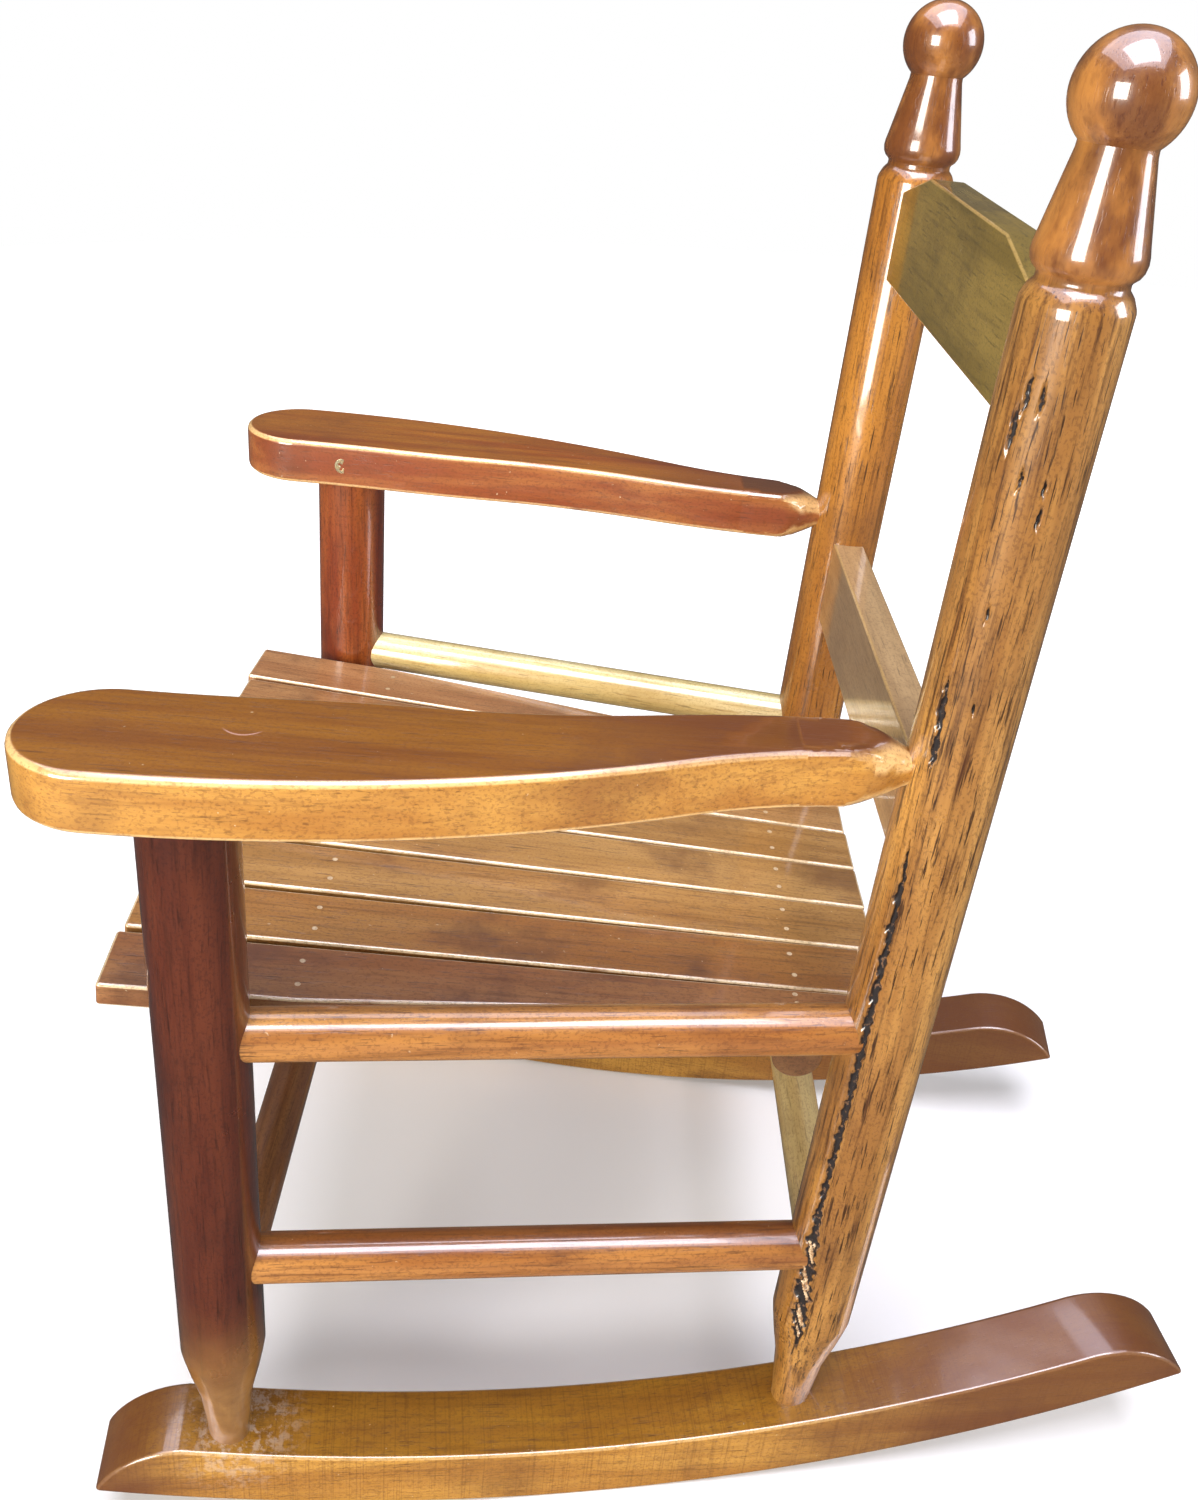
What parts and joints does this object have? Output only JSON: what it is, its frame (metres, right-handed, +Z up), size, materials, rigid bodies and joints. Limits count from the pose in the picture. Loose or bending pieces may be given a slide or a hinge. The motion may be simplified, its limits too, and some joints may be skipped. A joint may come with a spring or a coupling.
{
  "type": "rocking chair",
  "caption": "Small slatted wooden rocking chair: turned posts with ball finials, paddle arms, fanned slat seat, dowel stretchers and two toed-in rockers.",
  "frame": {"origin": "centre of the bounding box on the floor the rockers rest on", "axes": "+Z up, +Y towards the sitter's back, +X towards the sitter's left; the chair is mirror symmetric about the X = 0 plane and stands at the angle at which it balances"},
  "size_m": [0.383, 0.4856, 0.597],
  "materials": {
    "leg_wood": "gloss lacquer over reddish stain",
    "post_wood": "gloss lacquer over amber stain",
    "rocker_wood": "gloss lacquer over amber stain",
    "arm_wood": "gloss lacquer over amber stain",
    "stretcher_wood": "gloss lacquer over amber stain",
    "batten_wood": "lacquered",
    "seat_wood": "gloss lacquer over amber stain",
    "rail_wood": "gloss lacquer over olive brown stain",
    "screw_metal": "plated",
    "brad_metal": "dulled"
  },
  "bodies": {
    "root": {"front_leg_left": "leg_wood", "front_leg_right": "leg_wood", "rear_post_left": "post_wood", "rear_post_right": "post_wood", "rocker_left": "rocker_wood", "rocker_right": "rocker_wood", "arm_left": "arm_wood", "arm_right": "arm_wood", "upper_side_stretcher_left": "stretcher_wood", "upper_side_stretcher_right": "stretcher_wood", "lower_side_stretcher_left": "stretcher_wood", "lower_side_stretcher_right": "stretcher_wood", "lower_cross_stretcher_front": "stretcher_wood", "lower_cross_stretcher_rear": "stretcher_wood", "seat_batten_front": "batten_wood", "seat_batten_rear": "batten_wood", "crest_rail": "rail_wood", "lower_back_rail": "rail_wood", "arm_screws": "screw_metal", "seat_screws": "screw_metal", "seat_brads": "brad_metal", "seat_slat_1": "seat_wood", "seat_slat_2": "seat_wood", "seat_slat_3": "seat_wood", "seat_slat_4": "seat_wood", "seat_slat_5": "seat_wood", "seat_slat_6": "seat_wood", "seat_slat_7": "seat_wood", "seat_slat_8": "seat_wood"}
  },
  "joints": []
}
